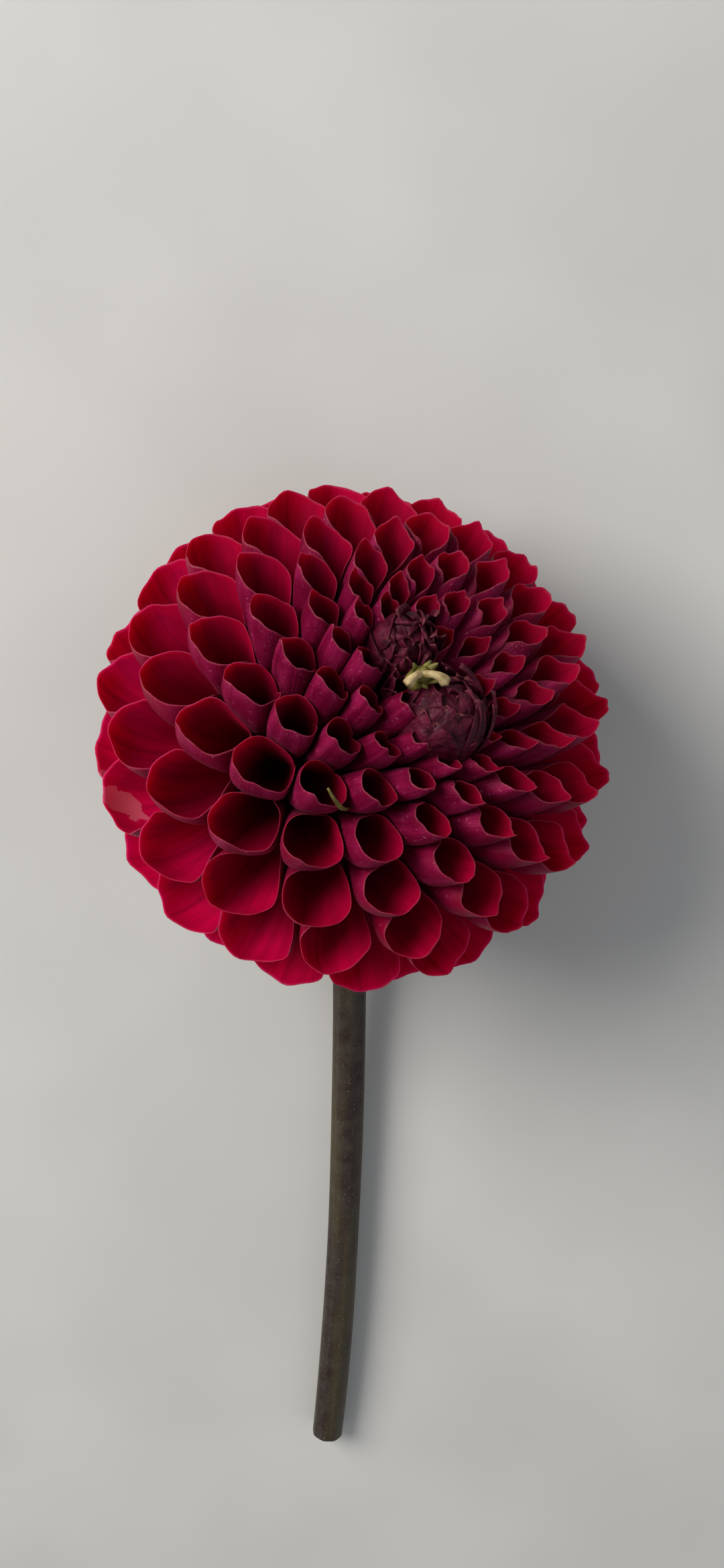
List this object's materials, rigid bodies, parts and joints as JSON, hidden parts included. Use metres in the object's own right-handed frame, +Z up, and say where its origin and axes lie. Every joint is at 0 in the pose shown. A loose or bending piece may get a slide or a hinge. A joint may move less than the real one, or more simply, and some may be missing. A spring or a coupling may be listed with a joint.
{
  "type": "dahlia flower",
  "caption": "Cut ball dahlia lying on a surface: a dense head of rolled crimson ray florets round a double eye, on a bent dark stem.",
  "frame": {"origin": "A flat spot on one of the lowest florets, on the surface that the flower rests on.", "axes": "+Z is up, out of the surface. The stem runs from the head towards -Y. +X is to the right of somebody who looks down with the stem towards them."},
  "size_m": [0.0946, 0.2255, 0.0847],
  "materials": {
    "ray_florets": "velvety crimson petals, satin magenta on the reverse",
    "eye_buds": "dark plum satin bud scales",
    "disc_florets": "dull cream and tan",
    "chaff": "thin yellow-green scale",
    "calyx": "fleshy green bracts",
    "stem": "dark brown-purple ribbed stem with a faint bloom"
  },
  "bodies": {
    "root": {"bloom": "ray_florets", "lower_eye_bud": "eye_buds", "upper_eye_bud": "eye_buds", "disc_florets": "disc_florets", "chaff_scale": "chaff", "calyx": "calyx", "stem": "stem"}
  },
  "joints": []
}
